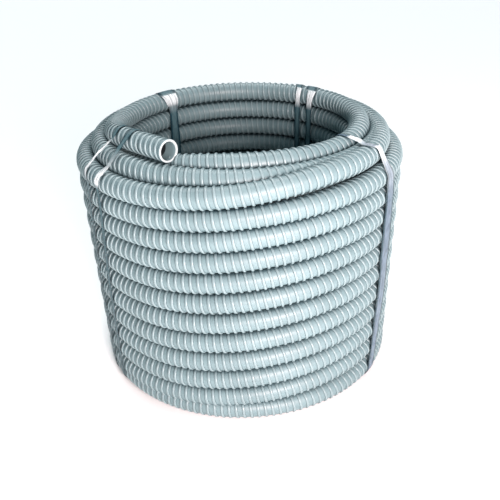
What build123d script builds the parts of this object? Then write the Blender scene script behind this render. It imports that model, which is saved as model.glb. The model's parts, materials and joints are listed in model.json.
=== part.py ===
from build123d import *
import math
import os

# A 25 mm spiral-ribbed drain hose wound into a three-layer coil and held by four film ties.
# The coil axis is Z, the floor is z = 0, and the free end lies on top at the front left.
# Azimuths run clockwise seen from above: 0 is the front (-Y) and 90 is the left (-X). All in mm.

# Hose
hose_od = 32.0            # over the ribs
hose_bore = 25.0
wall_od = 28.6            # between the ribs
rib_pitch = 10.5
rib_root_width = 4.6
rib_crest_width = 2.6
hose_r = hose_od / 2

# Film ties
film_thickness = 0.5
film_gap = 0.1            # between the film and the hose it wraps
tie_sector = 9.0          # degrees of the coil that a tie covers
tie_front_left = 55.0
tie_front_right = -52.0
tie_back_left = 140.0
tie_back_right = 218.0

# Coil: centreline radii, heights and row counts of its layers
bottom_row_z = film_thickness + film_gap + hose_r
outer_r_bottom = 232.0
outer_r_top = 238.5
outer_rows = 12
outer_top_z = 366.4
middle_r = 211.5
middle_top_z = 380.8
inner_r = 185.6
inner_rows = 11
top_turn_z = 395.2        # the loose turn that lies on the inner layer
inner_top_z = top_turn_z - hose_od
outer_split_r = 225.0     # where the outer layer's rows meet the middle layer's
inner_split_r = 198.5     # where the middle layer's rows meet the inner layer's
row_arc = 60.0            # half angle of a row's round that stands out of the layer

# Route of the top turn: the mouth of the free end, the bend at the left, the level ring,
# and the ramp that sinks into the inner layer beneath the free end
mouth = Vector(-94.4, -175.4, 411.5)
bend = [Vector(-165.0, -104.0, 409.0), Vector(-187.0, -52.0, 403.0), Vector(-188.0, 4.0, 397.5)]
ring_first_azimuth = 109.0
ring_last_azimuth = 337.0
ring_steps = 11
ring_corner_r = 1.011 * inner_r     # the arcs pass inside their corners
ramp = [(358.0, 187.0, 391.0), (378.0, 187.0, 381.0), (396.0, 186.0, 370.0)]
corner_use = 0.45                   # share of a run that each of its two corner arcs may take


def at(azimuth, radius, z):
    """A point by its azimuth clockwise from the front, its radius and its height."""
    a = math.radians(azimuth)
    return Vector(-radius * math.sin(a), -radius * math.cos(a), z)


def row_centres(count, r_bottom, r_top, z_top):
    """Centres, as radius and height, of a layer's rows from the bottom one up."""
    share = [i / (count - 1) for i in range(count)]
    return [(r_bottom + (r_top - r_bottom) * s, bottom_row_z + (z_top - bottom_row_z) * s) for s in share]


def scalloped_layer(rows, flat_r, side):
    """Revolve a layer whose rows show as rounds on one side; side is +1 outwards, -1 inwards."""
    first_z = rows[0][1]
    last_z = rows[-1][1]
    a = math.radians(row_arc)
    low_corner = (flat_r, first_z - hose_r)
    top_corner = (flat_r, last_z + hose_r)
    outline = [Line(top_corner, low_corner)]
    end = low_corner
    for i, (r, z) in enumerate(rows):
        low = -math.pi / 2 if i == 0 else -a
        high = math.pi / 2 if i == len(rows) - 1 else a
        mid = (low + high) / 2
        begin = (r + side * hose_r * math.cos(low), z + hose_r * math.sin(low))
        middle = (r + side * hose_r * math.cos(mid), z + hose_r * math.sin(mid))
        outline.append(Line(end, begin))
        end = (r + side * hose_r * math.cos(high), z + hose_r * math.sin(high))
        outline.append(ThreePointArc(begin, middle, end))
    outline.append(Line(end, top_corner))
    return revolve(Plane.XZ * make_face(outline), Axis.Z)


def plain_layer(r_in, r_out, z_top):
    """Revolve a layer that no side shows: a plain wall with rounded top and bottom edges."""
    low = bottom_row_z - hose_r
    high = z_top + hose_r
    width = r_out - r_in
    section = Pos((r_in + r_out) / 2, (low + high) / 2) * Rectangle(width, high - low)
    section = fillet(section.vertices(), width * corner_use)
    return revolve(Plane.XZ * section, Axis.Z)


def route_wire(points):
    """Straight runs joined by arcs, each arc as large as its two runs allow."""
    radii = []
    for before, here, after in zip(points, points[1:], points[2:]):
        turn = math.radians((here - before).get_angle(after - here))
        run = min((here - before).length, (after - here).length)
        radii.append(corner_use * run / math.tan(turn / 2))
    print("arc radii", [round(r) for r in radii])
    return FilletPolyline(*points, radius=radii)


def tube(path, outer_d, inner_d):
    """Sweep a round tube, or a rod where inner_d is nothing, along a path."""
    plane = Plane(origin=path @ 0, z_dir=path % 0)
    section = Circle(outer_d / 2)
    if inner_d:
        section -= Circle(inner_d / 2)
    return sweep(plane * section, path=path)


def spiral_rib(path):
    """A rigid rib wound round a straight stretch of hose, with both its ends inside that stretch."""
    helix = Helix(pitch=rib_pitch, height=path.length - 2 * rib_root_width, radius=wall_od / 2)
    start = helix @ 0
    section_plane = Plane(origin=start, x_dir=Vector(start.X, start.Y, 0).normalized(), z_dir=helix % 0)
    height = hose_r - wall_od / 2
    section = make_face(
        Polyline(
            (0, -rib_root_width / 2),
            (height, -rib_crest_width / 2),
            (height, rib_crest_width / 2),
            (0, rib_root_width / 2),
            close=True,
        )
    )
    rib = sweep(section_plane * section, path=helix, is_frenet=True)
    return Plane(origin=path @ 0, z_dir=path % 0) * (Pos(0, 0, rib_root_width) * rib)


def film_tie(azimuth, centres):
    """A film band round the coil's wall: the outline of round hose rows at the given centres."""
    loop = make_face(Polyline(*centres, close=True))
    inside = offset(loop, hose_r + film_gap, kind=Kind.ARC)
    outside = offset(loop, hose_r + film_gap + film_thickness, kind=Kind.ARC)
    band = revolve(Plane.XZ * (outside - inside), Axis.Z, revolution_arc=tie_sector)
    return Rot(0, 0, 270 - azimuth - tie_sector / 2) * band


outer_layer = scalloped_layer(row_centres(outer_rows, outer_r_bottom, outer_r_top, outer_top_z), outer_split_r, 1)
middle_layer = plain_layer(inner_split_r, outer_split_r, middle_top_z)
inner_layer = scalloped_layer(row_centres(inner_rows, inner_r, inner_r, inner_top_z), inner_split_r, -1)

ring_step = (ring_last_azimuth - ring_first_azimuth) / ring_steps
ring = [at(ring_first_azimuth + ring_step * i, ring_corner_r, top_turn_z) for i in range(ring_steps + 1)]
route = [mouth] + bend + ring + [at(*corner) for corner in ramp]
runs = route_wire(route).order_edges()
free_path = runs[0]                 # the straight stretch behind the mouth
top_path = Wire(runs[1:])
free_end = tube(free_path, wall_od, hose_bore)
top_turn = tube(top_path, hose_od, hose_bore)
top_turn_room = tube(top_path, hose_od, 0)
inner_layer = inner_layer - top_turn_room
middle_layer = middle_layer - top_turn_room

# Outlines that the ties wrap, as the centres of the hose rows at their corners
tie_inner_r = inner_r - 2.0
wall_low = [(inner_r, bottom_row_z), (outer_r_bottom, bottom_row_z), (outer_r_top, outer_top_z)]
plain_top = [(middle_r, middle_top_z + 2.0), (tie_inner_r, top_turn_z + 1.0)]
free_end_top = [(204.0, 411.0), (190.0, 412.5), (tie_inner_r, 406.0)]

parts = {
    "hose_outer_layer": outer_layer,
    "hose_middle_layer": middle_layer,
    "hose_inner_layer": inner_layer,
    "hose_top_turn": top_turn,
    "hose_free_end": free_end,
    "free_end_spiral": spiral_rib(free_path),
    "film_tie_front_left": film_tie(tie_front_left, wall_low + free_end_top),
    "film_tie_front_right": film_tie(tie_front_right, wall_low + plain_top),
    "film_tie_back_left": film_tie(tie_back_left, wall_low + plain_top),
    "film_tie_back_right": film_tie(tie_back_right, wall_low + plain_top),
}

os.makedirs("parts", exist_ok=True)
for name, shape in parts.items():
    export_step(shape, f"parts/{name}.step")
section_area = math.pi * (hose_r**2 - (hose_bore / 2) ** 2)
print("free end", round(free_path.length), "mm, top turn", round(top_path.length), "mm long")
print("top turn by its volume", round(top_turn.volume / section_area), "mm")
print("mouth axis", (free_path % 0) * -1)
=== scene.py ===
"""A tall coil of spiral-ribbed drain hose, held by four clear film ties.

The hose is one length: its free end lies on top, and from there it winds down the inner layer, up the
middle layer and down the outer layer, and ends on the floor. Lengths are in metres. Places round the coil
are in turns, clockwise seen from above: 0 is the front, 0.25 the left, 0.5 the back and 0.75 the right.
"""
import json
import math

import bpy
import numpy as np
from bpy.props import FloatProperty, FloatVectorProperty, PointerProperty
from mathutils import Matrix, Vector


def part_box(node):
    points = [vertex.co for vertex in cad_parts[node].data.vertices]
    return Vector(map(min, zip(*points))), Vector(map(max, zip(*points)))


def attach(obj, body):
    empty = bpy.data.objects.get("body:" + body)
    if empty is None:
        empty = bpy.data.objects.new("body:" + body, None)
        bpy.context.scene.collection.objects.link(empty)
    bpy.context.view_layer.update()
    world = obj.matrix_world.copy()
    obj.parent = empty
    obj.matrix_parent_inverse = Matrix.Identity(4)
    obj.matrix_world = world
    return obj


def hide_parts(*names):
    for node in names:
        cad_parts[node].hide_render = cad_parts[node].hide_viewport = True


bl_info = {
    "name": "Drain hose coil",
    "version": (1, 0, 0),
    "blender": (4, 5, 0),
    "location": "View3D > Sidebar > Hose coil",
    "description": "Builds a coil of spiral-ribbed drain hose with its film ties",
    "category": "Add Mesh",
}

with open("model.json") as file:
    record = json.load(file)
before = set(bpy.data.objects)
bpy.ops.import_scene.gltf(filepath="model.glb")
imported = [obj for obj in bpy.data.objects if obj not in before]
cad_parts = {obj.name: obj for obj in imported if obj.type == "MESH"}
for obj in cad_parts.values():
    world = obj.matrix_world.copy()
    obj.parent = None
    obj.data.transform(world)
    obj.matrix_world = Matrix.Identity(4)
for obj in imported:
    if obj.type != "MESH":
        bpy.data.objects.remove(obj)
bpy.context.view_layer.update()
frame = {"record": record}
MOUTH = next(m for m in frame["record"]["mounts"] if m["name"] == "hose_mouth")
BORE_R = MOUTH["dims"]["r_mm"] / 1000
MOUTH_AXIS = np.array(MOUTH["axis"])
MOUTH_PLACE = np.array(MOUTH["pos_m"]) + MOUTH_AXIS * MOUTH["dims"]["length_mm"] / 2000
OUTER_LOW, OUTER_HIGH = (np.array(corner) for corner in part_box("hose_outer_layer"))

BODY = "root"
HOSE_D = 0.032
FLOOR_ROW_Z = OUTER_LOW[2] + HOSE_D / 2

# Turns of the coil that each layer takes, counted from the front crossing above the free end
RING_START = 0.30
INNER_END = 13.0
OUTER_START = 25.0
HOSE_END = 36.45
POINTS_PER_TURN = 24
CORNER_SHARE = 0.9915     # how far out a spline of 24 points a turn runs, as a share of its points' radius
ROW_STEPS = 11            # row pitches from the bottom row of a layer to its top row

# How much further in a layer's bottom row runs than its top row
INNER_LEAN = 0.005
MIDDLE_LEAN = 0.006
OUTER_LEAN = 0.0065

# Where rows leave their even height
TOP_TURN_FALL = 0.002     # of the inner layer's first row, in a whole turn
INNER_DIP = 0.005         # of each inner row, at the right of the front
INNER_DIP_TURN = 0.86
INNER_DIP_WIDTH = 0.07    # in turns
OUTER_HUMP = 0.14         # of the outer layer's first row as it comes over the middle layer, in diameters
OUTER_HUMP_TURN = -0.075  # before the outer layer's start
OUTER_HUMP_WIDTH = 0.05

# The bend of the free end: control points that the coil's own points follow
FREE_END = [(-0.165, -0.104, 0.409), (-0.187, -0.052, 0.403), (-0.188, 0.004, 0.3975)]


# ---------------------------------------------------------------- sizes and colours

class HoseSizes(bpy.types.PropertyGroup):
    """The hose's section and its colours."""
    diameter: FloatProperty(name="Diameter", description="Over the ribs", default=HOSE_D, unit="LENGTH")
    wall_diameter: FloatProperty(
        name="Wall diameter", description="Between the ribs", default=0.0286, unit="LENGTH")
    bore_diameter: FloatProperty(name="Bore", description="Inside", default=2 * BORE_R, unit="LENGTH")
    rib_pitch: FloatProperty(
        name="Rib pitch", description="From rib to rib along the hose", default=0.0105, unit="LENGTH")
    rib_width: FloatProperty(name="Rib width", description="At its root", default=0.0044, unit="LENGTH")
    wall_colour: FloatVectorProperty(
        name="Wall colour", description="Soft grey wall", default=(0.150, 0.225, 0.243), subtype="COLOR")
    rib_colour: FloatVectorProperty(
        name="Rib colour", description="Rigid light spiral", default=(0.20, 0.275, 0.292), subtype="COLOR")


class CoilSizes(bpy.types.PropertyGroup):
    """Where the layers' centrelines run."""
    inner_radius: FloatProperty(
        name="Inner radius", description="Of the inner layer", default=0.1856, unit="LENGTH")
    middle_radius: FloatProperty(
        name="Middle radius", description="Of the middle layer", default=0.2128, unit="LENGTH")
    outer_radius: FloatProperty(
        name="Outer radius", description="Of the outer layer's top row",
        default=OUTER_HIGH[0] - HOSE_D / 2, unit="LENGTH")
    top_turn_height: FloatProperty(
        name="Top turn height", description="Of the turn that ends in the free end",
        default=0.3952, unit="LENGTH")
    middle_height: FloatProperty(
        name="Middle height", description="Of the middle layer's top row", default=0.3818, unit="LENGTH")
    outer_height: FloatProperty(
        name="Outer height", description="Of the outer layer's top row at the front",
        default=0.3713, unit="LENGTH")


class StageSettings(bpy.types.PropertyGroup):
    """Floor and light."""
    floor_colour: FloatVectorProperty(
        name="Floor colour", description="Plain pale floor", default=(0.92, 0.92, 0.92), subtype="COLOR")
    key_power: FloatProperty(
        name="Key light", description="Softbox at the front, in watts", default=44.0, unit="POWER")
    overhead_strength: FloatProperty(name="Overhead light", description="From above and behind", default=2.45)
    back_strength: FloatProperty(name="Back light", description="From behind", default=0.8)
    sky_strength: FloatProperty(name="Sky", description="Light from all round", default=0.25)


# ---------------------------------------------------------------- route of the hose

def ease(x):
    """Zero below 0 and one above 1, with a smooth S between: 3 x squared less 2 x cubed."""
    x = np.clip(x, 0, 1)
    return x * x * (3 - 2 * x)


def steps(turn, first, last):
    """The number of whole turns made, each counted in by an S curve from first to last of the turn."""
    whole = np.floor(turn - first)
    return whole + ease((turn - first - whole) / (last - first))


def coil_points(coil):
    """Control points of the coil, on a circle whose radius and height change with the turn.

    The inner layer's rows step down past the free end and dip at the right of the front, and its first
    row falls a little on its way round. The middle layer's rows step up at the front by most of their
    pitch. The outer layer's rows step down there by half their pitch and drift down by the rest. Its first
    row humps up over the middle layer, and its last row settles on the floor.

    Known fault: the middle layer's last two turns lie in one place, because its rows are counted from one
    instead of zero and stop at the top. The last half turn on the floor lies in the turn before it."""
    turn = np.arange(round(RING_START * POINTS_PER_TURN), round(HOSE_END * POINTS_PER_TURN) + 1)
    turn = turn / POINTS_PER_TURN

    inner_pitch = (coil.top_turn_height - FLOOR_ROW_Z) / (INNER_END - 1)
    inner_z = coil.top_turn_height - inner_pitch * (steps(turn, 0.02, 0.22) - 1)
    fall = TOP_TURN_FALL * np.clip(turn - RING_START, 0, 1 - RING_START)
    dip = INNER_DIP * np.exp(-((turn % 1 - INNER_DIP_TURN) / INNER_DIP_WIDTH) ** 2)
    inner_z -= fall + dip
    inner_r = coil.inner_radius - INNER_LEAN * np.clip((turn - 1) / ROW_STEPS, 0, 1)

    climb = turn - INNER_END
    middle_rows = 0.86 * steps(climb, -0.10, 0.10) + 0.14 * climb
    middle_pitch = (coil.middle_height - FLOOR_ROW_Z) / ROW_STEPS
    middle_z = FLOOR_ROW_Z + middle_pitch * np.clip(middle_rows, 0, ROW_STEPS)
    middle_r = coil.middle_radius - MIDDLE_LEAN * np.clip((OUTER_START - 1 - turn) / ROW_STEPS, 0, 1)

    down = turn - OUTER_START
    rows = 0.48 * down + 0.52 * (steps(down, -0.11, 0.11) - 0.5)
    outer_z = coil.outer_height + HOSE_D * (0.12 * np.sin(2 * np.pi * rows / 14) - 1.01 * rows)
    outer_z += OUTER_HUMP * HOSE_D * np.exp(-((down - OUTER_HUMP_TURN) / OUTER_HUMP_WIDTH) ** 2)
    outer_z += (FLOOR_ROW_Z - outer_z) * ease((down - 10.05) / 0.6)
    outer_r = coil.outer_radius - OUTER_LEAN * np.clip(down / ROW_STEPS, 0, 1)

    out = ease((climb + 0.05) / 0.2)
    over = ease((down + 0.29) / 0.32)
    radius = inner_r + (middle_r - inner_r) * out
    radius += (outer_r - radius) * over
    height = inner_z + (middle_z - inner_z) * out
    height += (outer_z - height) * ease((down + 0.32) / 0.14)
    height = np.maximum(height, FLOOR_ROW_Z)
    angle = 2 * np.pi * turn
    corner_r = radius / CORNER_SHARE
    return np.stack([-corner_r * np.sin(angle), -corner_r * np.cos(angle), height], 1)


class Route:
    """The hose's centreline, as points, with the direction sideways and up from it at each of them."""

    def __init__(self, points):
        runs = np.linalg.norm(np.diff(points, axis=0), axis=1)
        self.points = points
        self.along = np.concatenate([[0], np.cumsum(runs)])
        self.length = self.along[-1]
        tangent = np.gradient(points, self.along, axis=0)
        tangent /= np.linalg.norm(tangent, axis=1)[:, None]
        side = np.cross([0, 0, 1], tangent)
        self.side = side / np.linalg.norm(side, axis=1)[:, None]
        self.up = np.cross(tangent, self.side)
        self.radius = np.hypot(points[:, 0], points[:, 1])
        self.turn = np.unwrap(np.arctan2(-points[:, 0], -points[:, 1])) / (2 * np.pi)

    def read(self, field, along):
        """The field's value at each length along the route."""
        return np.stack([np.interp(along, self.along, field[:, k]) for k in range(3)], -1)

    def ring(self, along, turned, radius):
        """Points at a radius from the centreline, turned right-handed about its forward direction."""
        spoke = np.cos(turned)[..., None] * self.read(self.side, along)
        spoke = spoke + np.sin(turned)[..., None] * self.read(self.up, along)
        return self.read(self.points, along) + np.asarray(radius)[..., None] * spoke

    def at_turn(self, turn):
        """The length along the route where the coil has made that many turns."""
        return float(np.interp(turn, self.turn, self.along))


def hose_route(coil):
    """Read the centreline's points from a NURBS spline through the free end's and the coil's points."""
    control = np.concatenate([[MOUTH_PLACE], FREE_END, coil_points(coil)])
    curve = bpy.data.curves.new("hose_route", "CURVE")
    curve.dimensions = "3D"
    spline = curve.splines.new("NURBS")
    spline.points.add(len(control) - 1)
    spline.points.foreach_set("co", np.column_stack([control, np.ones(len(control))]).ravel())
    spline.order_u = 3
    spline.use_endpoint_u = True
    spline.resolution_u = 12
    holder = bpy.data.objects.new("hose_route", curve)
    line = bpy.data.meshes.new_from_object(holder)
    points = np.empty(len(line.vertices) * 3)
    line.vertices.foreach_get("co", points)
    bpy.data.objects.remove(holder)
    bpy.data.curves.remove(curve)
    bpy.data.meshes.remove(line)
    return Route(points.reshape(-1, 3))


# ---------------------------------------------------------------- meshes

def grid(rows, columns, first=0, closed_rows=False, closed_columns=False, flip=False):
    """Quads of a grid of points, and each quad corner's share of the way along and round the grid."""
    spans_i = rows if closed_rows else rows - 1
    spans_j = columns if closed_columns else columns - 1
    i, j = (a.ravel() for a in np.meshgrid(np.arange(spans_i), np.arange(spans_j), indexing="ij"))
    corner_i = np.stack([i, i + 1, i + 1, i], 1)
    corner_j = np.stack([j, j, j + 1, j + 1], 1)
    if flip:
        corner_i, corner_j = corner_i[:, ::-1], corner_j[:, ::-1]
    quads = first + corner_i % rows * columns + corner_j % columns
    share = np.stack([corner_i / spans_i, corner_j / spans_j], -1)
    return quads, share.reshape(-1, 2)


def new_piece(name, points, faces, shares, material, slot):
    """Make a smooth-shaded piece that rides on the coil, from whole arrays of points, faces and UVs."""
    mesh = bpy.data.meshes.new(name)
    corners = np.concatenate([f.ravel() for f in faces]).astype(np.int32)
    sizes = np.concatenate([np.full(len(f), f.shape[1]) for f in faces]).astype(np.int32)
    mesh.vertices.add(len(points))
    mesh.vertices.foreach_set("co", points.astype(np.float32).ravel())
    mesh.loops.add(len(corners))
    mesh.loops.foreach_set("vertex_index", corners)
    mesh.polygons.add(len(sizes))
    mesh.polygons.foreach_set("loop_start", np.cumsum(sizes).astype(np.int32) - sizes)
    mesh.polygons.foreach_set("use_smooth", np.ones(len(sizes), bool))
    mesh.update(calc_edges=True)
    uv = mesh.uv_layers.new(name="along_and_round")
    uv.uv.foreach_set("vector", np.concatenate(shares).astype(np.float32).ravel())
    mesh.materials.append(material)
    piece = bpy.data.objects.new(name, mesh)
    bpy.context.scene.collection.objects.link(piece)
    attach(piece, BODY)
    return piece


def hollow_tube(route, along, outer_r, inner_r, segments):
    """A hollow tube about the route: for each length a ring of points outside and one inside, and a flat
    rim that joins them at both ends."""
    turned = np.arange(segments) * 2 * np.pi / segments
    lengths, angles = np.broadcast_arrays(along[:, None], turned[None, :])
    outside = route.ring(lengths, angles, np.broadcast_to(outer_r, lengths.shape)).reshape(-1, 3)
    inside = route.ring(lengths, angles, np.broadcast_to(inner_r, lengths.shape)).reshape(-1, 3)
    rows, half = len(along), len(outside)
    outer_quads, outer_share = grid(rows, segments, closed_columns=True, flip=True)
    inner_quads, inner_share = grid(rows, segments, half, closed_columns=True)
    j = np.arange(segments)
    k = (j + 1) % segments
    last = (rows - 1) * segments
    near = np.stack([j, k, half + k, half + j], 1)[:, ::-1]
    far = np.stack([last + j, last + k, half + last + k, half + last + j], 1)
    rims = np.concatenate([near, far])
    return (np.concatenate([outside, inside]), [outer_quads, inner_quads, rims],
            [outer_share, inner_share, np.zeros((rims.size, 2))])


def helical_rib(route, start, end, profile, pitch, per_turn):
    """A closed profile carried along the hose in a right-handed helix: at a length s the profile is
    turned by s over the pitch, and each of its points lies its own offset along and its own radius out."""
    count = int(round((end - start) / pitch * per_turn)) + 1
    along = np.linspace(start, end, count)
    turned = np.broadcast_to((along * 2 * np.pi / pitch)[:, None], (count, len(profile)))
    points = route.ring(along[:, None] + profile[:, 0], turned, np.broadcast_to(profile[:, 1], turned.shape))
    quads, share = grid(count, len(profile), closed_columns=True)
    caps = np.stack([np.arange(len(profile)), (count - 1) * len(profile) + np.arange(len(profile))[::-1]])
    return points.reshape(-1, 3), [quads, caps], [share, np.zeros((caps.size, 2))]


def rib_profile(hose):
    """The rib's half round, as lengths along the hose and radii, from root to root inside the wall."""
    width, height = hose.rib_width / 2, (hose.diameter - hose.wall_diameter) / 2
    bow = np.radians([180, 140, 105, 75, 40, 0])
    root = hose.wall_diameter / 2 - RIB_SINK
    rise = root + (height + RIB_SINK) * np.sin(bow) ** 0.7
    return np.stack([width * np.sign(np.cos(bow)) * np.abs(np.cos(bow)) ** 0.8, rise], 1)


def hose_end(route, hose, at_tail):
    """The cut end of the hose: a closed outline turned about the route. It runs up the bore, over a rounded
    lip as wide as the ribs, down to the wall and back, and the bore has a faint helical ripple."""
    bore, wall, lip = hose.bore_diameter / 2, hose.wall_diameter / 2, hose.diameter / 2
    deep = np.linspace(END_LENGTH, 0.008, 10)
    lip_outline = [(0.0015, bore), (0.0005, bore + 0.0004), (0.0, bore + 0.001), (0.0, lip - 0.0012),
                   (0.0005, lip - 0.0004), (0.0016, lip - 0.0001), (0.0030, lip - 0.0001),
                   (0.0042, lip - 0.0006), (0.0052, wall + 0.0002), (0.0064, wall)]
    outline = np.concatenate([
        np.stack([deep, np.full(10, bore)], 1), lip_outline, np.stack([deep[::-1], np.full(10, wall)], 1)])
    turned = np.arange(END_SEGMENTS) * 2 * np.pi / END_SEGMENTS
    along = np.broadcast_to(outline[:, :1], (len(outline), END_SEGMENTS))
    radius = np.broadcast_to(outline[:, 1:], along.shape)
    ripple = 0.00012 * np.cos(along * 2 * np.pi / hose.rib_pitch - turned)
    radius = np.where(along * (radius == bore) > 0.002, radius - ripple - 0.00012, radius)
    if at_tail:
        along = route.length - along
    points = route.ring(along, np.broadcast_to(turned, along.shape), radius).reshape(-1, 3)
    quads, share = grid(len(outline), END_SEGMENTS, closed_rows=True, closed_columns=True, flip=at_tail)
    return points, [quads], [share]


# ---------------------------------------------------------------- film ties

OUTLINE_CORNERS = np.radians([-45, 45, 135, 225, 315])
OUTLINE_STEPS = 7201      # directions in which a tie's outline is read, a twentieth of a degree apart


def tie_outline(route, azimuth, hose_r, places):
    """The outline that a taut band takes round the rows at an azimuth, as radii and heights.

    In each direction it is the furthest row's centre plus the hose's radius. Places along it run from 0 at
    the outer bottom corner through 1 at the outer top, 2 at the inner top and 3 at the inner bottom to 4,
    each side measured out evenly by its length."""
    turns = azimuth / 360 % 1 + np.arange(math.ceil(HOSE_END))
    turns = turns[(turns > route.turn[0]) & (turns < route.turn[-1])]
    centres = np.stack([np.interp(turns, route.turn, route.radius),
                        np.interp(turns, route.turn, route.points[:, 2])], 1)
    direction = np.linspace(OUTLINE_CORNERS[0], OUTLINE_CORNERS[-1], OUTLINE_STEPS)
    away = np.stack([np.cos(direction), np.sin(direction)], 1)
    furthest = np.argmax(away @ centres.T, axis=1)
    outline = centres[furthest] + away * (hose_r + FILM_GAP)
    along = np.concatenate([[0], np.cumsum(np.linalg.norm(np.diff(outline, axis=0), axis=1))])
    corners = np.interp(OUTLINE_CORNERS, direction, along)
    wanted = np.interp(places, np.arange(5), corners)
    return np.stack([np.interp(wanted, along, outline[:, k]) for k in range(2)], -1)


def creases(place, across, folds, seed):
    """Sharp creases that run along a strand and sway: a sum of triangle waves across it, from -1 to 1."""
    rng = np.random.default_rng(seed)
    height = np.zeros(np.broadcast_shapes(place.shape, across.shape))
    for fold in folds:
        sway = 0.25 * np.sin(2 * np.pi * (place * rng.uniform(1, 4) + rng.uniform()))
        sway += 0.12 * np.sin(2 * np.pi * (place * rng.uniform(7, 13) + rng.uniform()))
        wave = (fold * across + sway + rng.uniform()) % 1
        height += (4 * np.abs(wave - 0.5) - 1) / len(folds)
    return height


def film_strand(route, hose_r, strand, seed):
    """A gathered strand of film: an outline round the rows, carried sideways from one azimuth to another.

    The strand's stations give its azimuth, width and gather at places along the outline. Each point lies on
    the outline at its own azimuth, lifted by the creases, which are deep where the film is gathered. The
    film is pressed flat where it would reach below the floor."""
    place = np.linspace(0, 4, STRAND_ROWS, endpoint=False)[:, None]
    across = np.linspace(-1, 1, STRAND_COLUMNS)[None, :]
    stations = np.array(strand["stations"])
    azimuth, width, gather = (np.interp(place, stations[:, 0], stations[:, k], period=4) for k in (1, 2, 3))
    azimuths = np.arange(azimuth.min() - 12, azimuth.max() + 12.5, 1.0)
    table = np.stack([tie_outline(route, a, hose_r, place[:, 0]) for a in azimuths])
    centre = table[len(azimuths) // 2, :, 0][:, None]
    ragged = 1 + 0.12 * creases(place, across * 0, (1, 1), seed + 1)
    spread = azimuth + np.degrees(across * width * ragged / 2 / centre)
    position = np.clip(spread - azimuths[0], 0, len(azimuths) - 1.001)
    low = position.astype(int)
    share = (position - low)[..., None]
    row = np.broadcast_to(np.arange(STRAND_ROWS)[:, None], low.shape)
    section = table[low, row] * (1 - share) + table[low + 1, row] * share
    run = np.roll(section, -1, axis=0) - np.roll(section, 1, axis=0)
    run /= np.linalg.norm(run, axis=-1)[..., None]
    folds = creases(place, across, (1.5, 2.5, 4.0), seed)
    lift = (0.0004 + 0.0022 * gather) * (0.5 + 0.5 * folds) * (1 - 0.5 * across ** 2)
    radius = section[..., 0] + run[..., 1] * lift
    height = np.maximum(section[..., 1] - run[..., 0] * lift, FLOOR_GAP)
    angle = np.radians(spread)
    points = np.stack([-radius * np.sin(angle), -radius * np.cos(angle), height], -1).reshape(-1, 3)
    quads, uv = grid(STRAND_ROWS, STRAND_COLUMNS, closed_rows=True)
    # Gathered film is whiter on its crease crests, partly the crumpled film's own whiteness and partly a
    # painted highlight; its folded edges get painted shade
    white_and_highlight = np.clip(gather * (0.75 + 0.6 * folds), 0, 1)[..., None]
    shaded_edge = ease((np.abs(across) - 0.45) / 0.35)[..., None]
    shaded_film = np.array(strand["film"]) * (1 - shaded_edge) + np.array(EDGE_FILM_SHADE) * shaded_edge
    tint = shaded_film * (1 - white_and_highlight) + np.array(WHITE_FILM_AND_HIGHLIGHT) * white_and_highlight
    return points, quads, uv, tint.reshape(-1, 4)


# ---------------------------------------------------------------- materials

# The shade in crevices: how far it reaches, the open shares that it fades between, and its tint
CREVICE_REACH = 0.011
CREVICE_FADE = (0.10, 0.62)
CREVICE_SHADE_TINT = (0.10, 0.19, 0.23, 1)
FILM_STREAKS = (110.0, 5.0, 1.0)      # streaks across a strand and along it


def surface_material(name, colour, roughness, spread, grain, bump):
    """A moulded plastic: its colour and roughness vary in soft patches, fine grain lifts its surface, and
    painted shade darkens its colour in crevices, where little open air reaches."""
    material = bpy.data.materials.new(name)
    material.use_nodes = True
    nodes, link = material.node_tree.nodes, material.node_tree.links.new
    shader = nodes["Principled BSDF"]
    place = nodes.new("ShaderNodeTexCoord")
    patches = nodes.new("ShaderNodeTexNoise")
    patches.inputs["Scale"].default_value = 22.0
    patches.inputs["Detail"].default_value = 4.0
    link(place.outputs["Object"], patches.inputs["Vector"])
    tint = nodes.new("ShaderNodeValToRGB")
    low, high = tint.color_ramp.elements
    low.position, high.position = 0.3, 0.7
    low.color = [c * (1 - spread) for c in colour] + [1]
    high.color = [min(1, c * (1 + spread)) for c in colour] + [1]
    link(patches.outputs["Fac"], tint.inputs["Fac"])
    # Painted shade: ambient occlusion darkens the base colour with a teal tint in crevices, between the rows
    # and down the bore
    crevice = nodes.new("ShaderNodeAmbientOcclusion")
    crevice.samples = 6
    crevice.inputs["Distance"].default_value = CREVICE_REACH
    crevice_shade_ramp = nodes.new("ShaderNodeValToRGB")
    deep, open_air = crevice_shade_ramp.color_ramp.elements
    deep.position, open_air.position = CREVICE_FADE
    deep.color = CREVICE_SHADE_TINT
    open_air.color = (1, 1, 1, 1)
    link(crevice.outputs["AO"], crevice_shade_ramp.inputs["Fac"])
    crevice_shaded_colour = nodes.new("ShaderNodeMix")
    crevice_shaded_colour.data_type, crevice_shaded_colour.blend_type = "RGBA", "MULTIPLY"
    crevice_shaded_colour.inputs["Factor"].default_value = 1.0
    link(tint.outputs["Color"], crevice_shaded_colour.inputs["A"])
    link(crevice_shade_ramp.outputs["Color"], crevice_shaded_colour.inputs["B"])
    link(crevice_shaded_colour.outputs["Result"], shader.inputs["Base Color"])
    gloss = nodes.new("ShaderNodeMapRange")
    gloss.inputs["To Min"].default_value = roughness - 0.06
    gloss.inputs["To Max"].default_value = roughness + 0.08
    link(patches.outputs["Fac"], gloss.inputs["Value"])
    link(gloss.outputs["Result"], shader.inputs["Roughness"])
    fine = nodes.new("ShaderNodeTexNoise")
    fine.inputs["Scale"].default_value = grain
    fine.inputs["Detail"].default_value = 2.0
    link(place.outputs["Object"], fine.inputs["Vector"])
    lift = nodes.new("ShaderNodeBump")
    lift.inputs["Strength"].default_value = bump
    lift.inputs["Distance"].default_value = 0.0003
    link(fine.outputs["Fac"], lift.inputs["Height"])
    link(lift.outputs["Normal"], shader.inputs["Normal"])
    shader.inputs["IOR"].default_value = 1.5
    return material


def once(name, make):
    """The material of that name, made the first time it is asked for."""
    return bpy.data.materials.get(name) or make()


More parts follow.
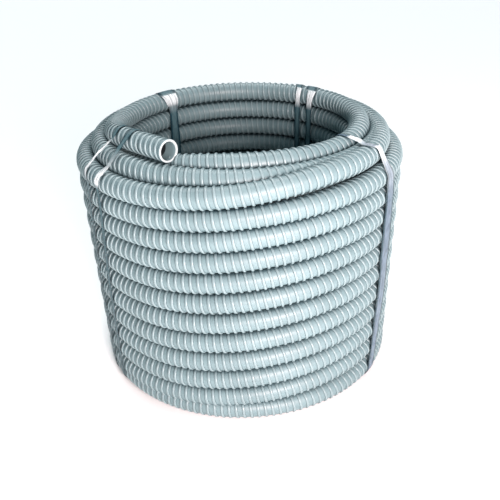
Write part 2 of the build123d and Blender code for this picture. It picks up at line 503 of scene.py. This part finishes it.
def film_material():
    """Clear film: its tint, which carries painted shade, dark reflection and highlights, and how much it
    hides come from each point, and streaks run along the strand.
    """
    material = bpy.data.materials.new("clear_film")
    material.use_nodes = True
    nodes, link = material.node_tree.nodes, material.node_tree.links.new
    shader = nodes["Principled BSDF"]
    tint = nodes.new("ShaderNodeAttribute")
    tint.attribute_name = "film_tint_and_painted_light"
    place = nodes.new("ShaderNodeUVMap")
    stretch = nodes.new("ShaderNodeMapping")
    stretch.inputs["Scale"].default_value = FILM_STREAKS
    streaks = nodes.new("ShaderNodeTexNoise")
    streaks.inputs["Scale"].default_value = 1.0
    streaks.inputs["Detail"].default_value = 5.0
    link(place.outputs["UV"], stretch.inputs["Vector"])
    link(stretch.outputs["Vector"], streaks.inputs["Vector"])
    hide = nodes.new("ShaderNodeMapRange")
    hide.inputs["From Min"].default_value = 0.3
    hide.inputs["From Max"].default_value = 0.7
    hide.inputs["To Min"].default_value = 0.7
    hide.inputs["To Max"].default_value = 1.3
    link(streaks.outputs["Fac"], hide.inputs["Value"])
    alpha = nodes.new("ShaderNodeMath")
    alpha.operation = "MULTIPLY"
    alpha.use_clamp = True
    link(tint.outputs["Alpha"], alpha.inputs[0])
    link(hide.outputs["Result"], alpha.inputs[1])
    link(tint.outputs["Color"], shader.inputs["Base Color"])
    link(alpha.outputs["Value"], shader.inputs["Alpha"])
    lift = nodes.new("ShaderNodeBump")
    lift.inputs["Strength"].default_value = 0.6
    lift.inputs["Distance"].default_value = 0.001
    link(streaks.outputs["Fac"], lift.inputs["Height"])
    link(lift.outputs["Normal"], shader.inputs["Normal"])
    shader.inputs["Roughness"].default_value = 0.34
    shader.inputs["Specular IOR Level"].default_value = 0.12
    shader.inputs["IOR"].default_value = 1.5
    return material


def wall_material(hose):
    """The hose's soft grey wall."""
    return once("grey_soft_pvc", lambda: surface_material(
        "grey_soft_pvc", hose.wall_colour, 0.46, 0.07, 900.0, 0.25))


def rim_material():
    """The freshly cut end, lighter than the wall."""
    return once("cut_rim", lambda: surface_material("cut_rim", (0.46, 0.52, 0.53), 0.40, 0.05, 700.0, 0.2))


def bore_shade_material():
    """Painted shade: the deep part of the bore, which little light reaches, drawn near-black."""
    return once("bore_painted_shade", lambda: surface_material(
        "bore_painted_shade", (0.010, 0.016, 0.019), 0.60, 0.10, 700.0, 0.2))


def paint_rows(piece, first, last, material):
    """Give a material of their own to the rows of faces from first up to last of a hose end's grid."""
    piece.data.materials.append(material)
    index = np.zeros(len(piece.data.polygons), np.int32)
    piece.data.polygons.foreach_get("material_index", index)
    index[first * END_SEGMENTS:last * END_SEGMENTS] = len(piece.data.materials) - 1
    piece.data.polygons.foreach_set("material_index", index)


def rib_material(hose):
    """The rigid spiral, lighter and glossier than the wall."""
    return once("light_rigid_pvc", lambda: surface_material(
        "light_rigid_pvc", hose.rib_colour, 0.32, 0.05, 600.0, 0.15))


# ---------------------------------------------------------------- floor, lights and camera

FLOOR_HALF = 9.0
SKY_COLOUR = (0.66, 0.91, 1.0, 1)
KEY_COLOUR = (1.0, 0.845, 0.825)
KEY_PLACE = (0.35, -1.35, 0.60)
KEY_TARGET = (0, -0.1, 0.24)
KEY_SIZE = 0.5
OVERHEAD_PLACE = (0.1, 1.4, 3.0)      # a sun's place gives its direction only
BACK_PLACE = (-1.5, 2.5, 2.0)
SUN_SPREAD = 40                       # in degrees
CAMERA_PLACE = (-0.00685, -0.960, 0.6865)
CAMERA_ANGLES = (0.498, 0.018, -0.033)    # down, turned and rolled, in radians
CAMERA_SENSOR = 36.0                  # in millimetres, as its lens is
CAMERA_LENS = 45.14


def add_floor(colour):
    """A wide flat floor of one colour, which is no part of the object."""
    half = FLOOR_HALF
    mesh = bpy.data.meshes.new("floor")
    mesh.from_pydata([(-half, -half, 0), (half, -half, 0), (half, half, 0), (-half, half, 0)], [],
                     [(0, 1, 2, 3)])
    floor = bpy.data.objects.new("floor", mesh)
    bpy.context.scene.collection.objects.link(floor)
    material = bpy.data.materials.new("pale_floor")
    material.use_nodes = True
    shader = material.node_tree.nodes["Principled BSDF"]
    shader.inputs["Base Color"].default_value = (*colour, 1)
    shader.inputs["Roughness"].default_value = 0.9
    mesh.materials.append(material)


def add_sky(scene, strength):
    """Even light from all round."""
    world = bpy.data.worlds.new("studio")
    world.use_nodes = True
    sky = world.node_tree.nodes["Background"]
    sky.inputs["Color"].default_value = SKY_COLOUR
    sky.inputs["Strength"].default_value = strength
    scene.world = world


def place_light(light, place, target):
    """Put a light at a place, turned to a target, where the camera doesn't see it."""
    light.location = place
    light.rotation_euler = (Vector(target) - Vector(place)).to_track_quat("-Z", "Y").to_euler()
    light.visible_camera = False
    bpy.context.scene.collection.objects.link(light)


def add_sun(name, place, strength):
    """A wide soft light from far away."""
    data = bpy.data.lights.new(name, "SUN")
    data.energy, data.angle = strength, math.radians(SUN_SPREAD)
    place_light(bpy.data.objects.new(name, data), place, (0, 0, 0))


def add_softbox(name, place, target, size, power):
    """A square soft light close by, so that what is further from it is darker."""
    data = bpy.data.lights.new(name, "AREA")
    data.energy, data.size, data.color = power, size, KEY_COLOUR
    place_light(bpy.data.objects.new(name, data), place, target)


def add_camera(scene):
    """The camera in front of the coil and above it, looking down, with a slight turn and roll."""
    down, turn, roll = CAMERA_ANGLES
    ahead = Vector((math.sin(turn) * math.cos(down), math.cos(turn) * math.cos(down), -math.sin(down)))
    level = Vector((math.cos(turn), -math.sin(turn), 0))
    above = level.cross(ahead)
    right = level * math.cos(roll) + above * math.sin(roll)
    data = bpy.data.cameras.new("camera")
    data.sensor_width, data.lens = CAMERA_SENSOR, CAMERA_LENS
    camera = bpy.data.objects.new("camera", data)
    axes = Matrix([right, right.cross(ahead), -ahead]).transposed().to_4x4()
    camera.matrix_world = Matrix.Translation(CAMERA_PLACE) @ axes
    scene.collection.objects.link(camera)
    scene.camera = camera


# ---------------------------------------------------------------- operators

class COIL_OT_stage(bpy.types.Operator):
    """Add the pale floor, the soft studio lights and the camera"""
    bl_idname = "coil.stage"
    bl_label = "Add stage"

    def execute(self, context):
        stage = context.scene.coil_stage
        add_floor(stage.floor_colour)
        add_sky(context.scene, stage.sky_strength)
        context.scene.view_settings.view_transform = "Standard"
        add_sun("overhead_light", OVERHEAD_PLACE, stage.overhead_strength)
        add_sun("back_light", BACK_PLACE, stage.back_strength)
        add_softbox("key_light", KEY_PLACE, KEY_TARGET, KEY_SIZE, stage.key_power)
        add_camera(context.scene)
        return {"FINISHED"}


# Each stretch of the rib: its name, the turns it runs between and the points that its helix has in a turn
RIB_STRETCHES = [
    ("spiral_top_turn", None, 1.25, 32),
    ("spiral_inner_upper", 1.25, 7.0, 14),
    ("spiral_inner_lower", 7.0, 13.0, 14),
    ("spiral_middle", 13.0, 24.0, 10),
    ("spiral_middle_top", 24.0, 24.75, 28),
    ("spiral_outer_upper", 24.75, 28.5, 20),
    ("spiral_outer_centre", 28.5, 32.4, 20),
    ("spiral_outer_lower", 32.4, None, 20),
]
END_LENGTH = 0.05
END_SEGMENTS = 64
BORE_ROWS = (0, 6)        # rows of faces deep in the bore, which are darker with painted shade
RIM_ROWS = (10, 14)       # rows of faces over the cut rim, which is lighter
RIB_INSET = 0.004         # the rib starts inside the lip of the hose's end
RIB_SINK = 0.0003         # how deep the rib's root lies in the wall
WALL_STEP = 0.016         # between the rings of points along the wall
WALL_SEGMENTS = 16


class COIL_OT_hose(bpy.types.Operator):
    """Add the hose: its hollow wall, its cut ends and the rigid rib wound round it"""
    bl_idname = "coil.hose"
    bl_label = "Add hose"

    def execute(self, context):
        hose, route = context.scene.coil_hose, hose_route(context.scene.coil_layers)
        wall, rib = wall_material(hose), rib_material(hose)
        rings = int((route.length - 2 * END_LENGTH) / WALL_STEP)
        along = np.linspace(END_LENGTH, route.length - END_LENGTH, rings)
        tube = hollow_tube(route, along, hose.wall_diameter / 2, hose.bore_diameter / 2, WALL_SEGMENTS)
        hose_wall = new_piece("hose_wall", *tube, wall, "hose_wall")
        on_it = [new_piece(name, *hose_end(route, hose, at_tail), wall, "hose_wall")
                 for name, at_tail in (("hose_mouth", False), ("hose_tail", True))]
        for end in on_it:
            # Painted shade on the rows deep in the bore, and a lighter cut rim
            paint_rows(end, *BORE_ROWS, bore_shade_material())
            paint_rows(end, *RIM_ROWS, rim_material())
        profile = rib_profile(hose)
        for name, first, last, per_turn in RIB_STRETCHES:
            start = RIB_INSET if first is None else route.at_turn(first)
            end = route.length - RIB_INSET if last is None else route.at_turn(last)
            helix = helical_rib(route, start, end, profile, hose.rib_pitch, per_turn)
            on_it.append(new_piece(name, *helix, rib, "hose_spiral"))
        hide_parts("hose_outer_layer", "hose_middle_layer", "hose_inner_layer", "hose_top_turn",
                    "hose_free_end")
        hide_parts("free_end_spiral")
        centres = route.read(route.points, np.concatenate([[0], along, [route.length]]))
        return {"FINISHED"}


# Film strands of each tie. A station is a place along the outline (0 outer bottom, 1 outer top, 2 inner top,
# 3 inner bottom), the azimuth there in degrees, the strand's width and how gathered it is, from 0 to 1.
FILM_GAP = 0.0006
FLOOR_GAP = 0.0001        # the film's least height above the floor
STRAND_ROWS = 400
STRAND_COLUMNS = 25
# Partly the crumpled film's own whiteness and partly a painted highlight
WHITE_FILM_AND_HIGHLIGHT = (0.88, 0.96, 0.98, 0.96)
EDGE_FILM_SHADE = (0.010, 0.040, 0.055, 0.95)   # the film's folded edges, in painted shade and dark reflection
# Painted shade and dark reflection: the clear film is drawn dark teal where it lies dense; where it is wide
# it is drawn blue-grey, partly its own tint and partly painted reflection
DENSE_FILM_SHADE = (0.075, 0.140, 0.160, 0.95)
WIDE_FILM = (0.130, 0.185, 0.245, 0.85)
TIES = {
    "film_tie_front_left": [
        {"film": DENSE_FILM_SHADE, "stations": [
            (0.0, 65.5, 0.010, 0.0), (0.5, 64.5, 0.009, 0.0), (0.8, 60.5, 0.009, 0.0),
            (0.95, 58.2, 0.008, 0.1), (1.0, 60.8, 0.006, 0.8), (1.3, 60.0, 0.005, 1.0),
            (1.5, 58.3, 0.005, 0.8), (1.6, 57.6, 0.005, 0.0), (1.9, 60.0, 0.012, 0.0),
            (2.1, 65.0, 0.045, 0.0), (2.5, 64.0, 0.040, 0.0), (3.0, 65.0, 0.030, 0.0)]},
        {"film": DENSE_FILM_SHADE, "stations": [
            (0.0, 57.4, 0.010, 0.0), (0.5, 54.9, 0.009, 0.0), (0.9, 51.1, 0.008, 0.0),
            (0.955, 51.3, 0.009, 0.0), (0.975, 51.4, 0.012, 1.0), (1.03, 51.2, 0.012, 1.0),
            (1.2, 49.7, 0.008, 0.45), (1.5, 50.0, 0.010, 0.0), (1.75, 49.5, 0.012, 0.0),
            (2.0, 49.5, 0.013, 0.0), (2.5, 50.0, 0.020, 0.0), (3.0, 52.0, 0.020, 0.0)]},
    ],
    "film_tie_front_right": [
        {"film": WIDE_FILM, "stations": [
            (0.0, -53.5, 0.020, 0.0), (0.4, -57.5, 0.036, 0.0), (0.8, -56.5, 0.032, 0.0),
            (0.93, -54.5, 0.018, 0.3), (0.99, -53.4, 0.012, 1.0), (1.07, -51.5, 0.012, 0.25),
            (1.25, -49.6, 0.013, 0.3), (1.4, -50.6, 0.011, 0.9), (1.62, -50.6, 0.009, 1.0),
            (1.7, -50.3, 0.005, 0.0), (2.1, -50.0, 0.014, 0.0), (2.5, -50.0, 0.030, 0.0),
            (3.0, -52.0, 0.030, 0.0)]},
    ],
    "film_tie_back_left": [
        {"film": DENSE_FILM_SHADE, "stations": [
            (0.0, 140.0, 0.030, 0.0), (0.6, 141.0, 0.036, 0.0), (1.0, 140.0, 0.030, 0.1),
            (1.6, 138.5, 0.034, 0.0), (1.93, 137.0, 0.036, 0.0), (1.975, 136.5, 0.036, 0.1),
            (2.0, 136.5, 0.032, 1.0), (2.035, 137.5, 0.024, 0.9), (2.05, 138.0, 0.018, 0.2),
            (2.08, 138.0, 0.017, 0.0), (2.5, 137.0, 0.021, 0.0), (3.0, 137.0, 0.024, 0.0)]},
    ],
    "film_tie_back_right": [
        {"film": DENSE_FILM_SHADE, "stations": [
            (0.0, 214.0, 0.022, 0.0), (0.6, 214.0, 0.024, 0.0), (1.0, 214.5, 0.016, 0.3),
            (1.7, 216.0, 0.014, 0.0), (1.92, 217.5, 0.012, 0.0), (1.96, 218.5, 0.010, 0.9),
            (2.02, 218.8, 0.009, 1.0), (2.05, 218.6, 0.008, 0.8), (2.08, 218.4, 0.010, 0.0),
            (2.6, 218.4, 0.010, 0.0), (3.0, 217.0, 0.012, 0.0)]},
        {"film": DENSE_FILM_SHADE, "stations": [
            (0.0, 226.0, 0.022, 0.0), (0.6, 226.0, 0.020, 0.0), (1.0, 225.0, 0.014, 0.3),
            (1.7, 224.5, 0.020, 0.0), (1.95, 226.5, 0.020, 0.0), (1.985, 227.8, 0.018, 0.9),
            (2.01, 228.0, 0.016, 1.0), (2.05, 227.2, 0.010, 1.0), (2.08, 226.8, 0.012, 0.0),
            (2.6, 226.5, 0.014, 0.0), (3.0, 226.0, 0.014, 0.0)]},
    ],
}


class COIL_OT_film_ties(bpy.types.Operator):
    """Add the four film ties, each of one or two gathered strands of clear film"""
    bl_idname = "coil.film_ties"
    bl_label = "Add film ties"

    def execute(self, context):
        hose, route = context.scene.coil_hose, hose_route(context.scene.coil_layers)
        film = once("clear_film", film_material)
        for number, (name, strands) in enumerate(TIES.items()):
            for letter, strand in zip("ab", strands):
                points, quads, uv, tint = film_strand(
                    route, hose.diameter / 2, strand, seed=10 * number + ord(letter))
                piece = new_piece(f"{name}_{letter}", points, [quads], [uv], film, "tie_film")
                # The film's colour per point, with its painted shade, dark reflection and highlights
                colour = piece.data.color_attributes.new("film_tint_and_painted_light", "FLOAT_COLOR", "POINT")
                colour.data.foreach_set("color", tint.astype(np.float32).ravel())
                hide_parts(name)
        return {"FINISHED"}


class COIL_PT_panel(bpy.types.Panel):
    """The coil's sizes and the buttons that build it"""
    bl_idname = "COIL_PT_panel"
    bl_label = "Drain hose coil"
    bl_space_type = "VIEW_3D"
    bl_region_type = "UI"
    bl_category = "Hose coil"

    def draw(self, context):
        for group in (context.scene.coil_hose, context.scene.coil_layers, context.scene.coil_stage):
            box = self.layout.box()
            for name in group.__annotations__:
                box.prop(group, name)
        for operator in OPERATORS:
            self.layout.operator(operator.bl_idname)


GROUPS = {"coil_hose": HoseSizes, "coil_layers": CoilSizes, "coil_stage": StageSettings}
OPERATORS = [COIL_OT_stage, COIL_OT_hose, COIL_OT_film_ties]


def register():
    """Add the settings, the operators and the panel."""
    for cls in [*GROUPS.values(), *OPERATORS, COIL_PT_panel]:
        bpy.utils.register_class(cls)
    for name, cls in GROUPS.items():
        setattr(bpy.types.Scene, name, PointerProperty(type=cls))


def unregister():
    """Take the settings, the operators and the panel away."""
    for name in GROUPS:
        delattr(bpy.types.Scene, name)
    for cls in reversed([*GROUPS.values(), *OPERATORS, COIL_PT_panel]):
        bpy.utils.unregister_class(cls)


def main():
    """Build the coil on its stage."""
    register()
    bpy.ops.coil.stage()
    bpy.ops.coil.hose()
    bpy.ops.coil.film_ties()


if __name__ == "__main__":
    main()
